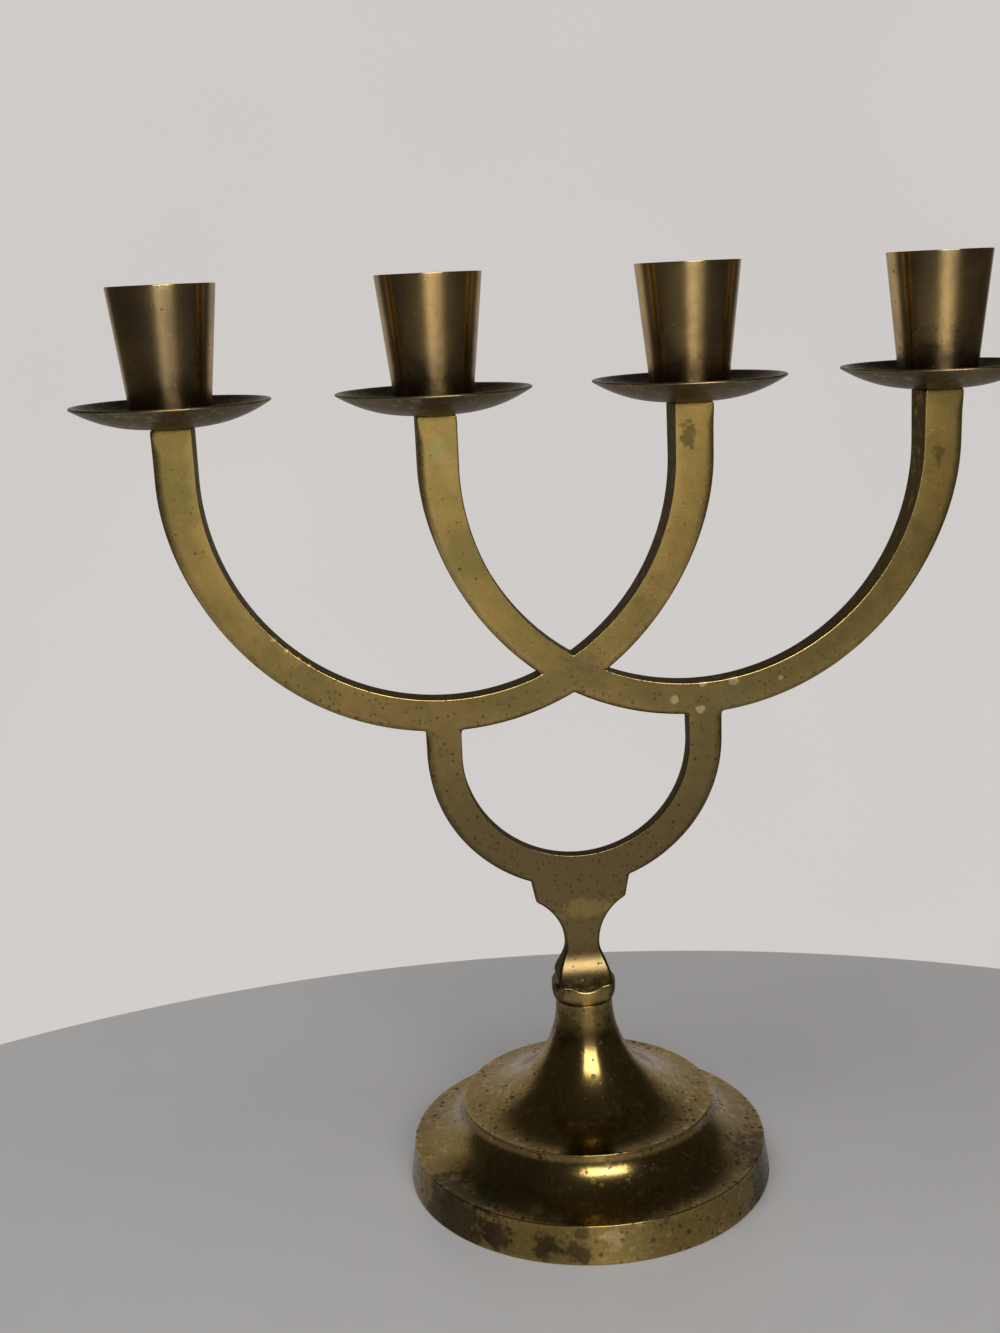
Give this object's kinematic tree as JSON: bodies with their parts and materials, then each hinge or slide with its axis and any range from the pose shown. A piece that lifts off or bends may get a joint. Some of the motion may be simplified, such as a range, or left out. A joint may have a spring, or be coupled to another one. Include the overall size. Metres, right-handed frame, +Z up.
{
  "type": "brass candelabra",
  "caption": "Brass candelabra with crossing flat-bar arches on a small yoke and a turned two-tier foot; each arm carries a drip pan and a tapered candle cup.",
  "frame": {"origin": "centre of the foot's flat underside, on the table", "axes": "+Z up; +X along the row of arms, to the viewer's right; -Y towards the viewer of the picture"},
  "size_m": [0.2498, 0.1022, 0.2506],
  "materials": {
    "foot_brass": "turned and polished, yellow-brown, tarnished in freckles and spots",
    "frame_brass": "cast and ground flat, satin olive-gold patina with bright worn edges",
    "pan_brass": "turned, dark bronze-brown patina with a bright rim",
    "cup_brass": "brushed round the cup, dark bronze-brown patina with a bright lip",
    "screw_brass": "plain slotted brass screw, dulled",
    "zinc_steel": "zinc-plated steel hardware, dull grey"
  },
  "bodies": {
    "root": {"foot": "foot_brass", "arm_frame": "frame_brass", "drip_pan_1": "pan_brass", "candle_cup_1": "cup_brass", "cup_screw_1": "screw_brass", "drip_pan_2": "pan_brass", "candle_cup_2": "cup_brass", "cup_screw_2": "screw_brass", "drip_pan_3": "pan_brass", "candle_cup_3": "cup_brass", "cup_screw_3": "screw_brass", "drip_pan_4": "pan_brass", "candle_cup_4": "cup_brass", "cup_screw_4": "screw_brass", "foot_stud": "zinc_steel", "foot_washer": "zinc_steel", "foot_spring_washer": "zinc_steel", "foot_nut": "zinc_steel"}
  },
  "joints": []
}
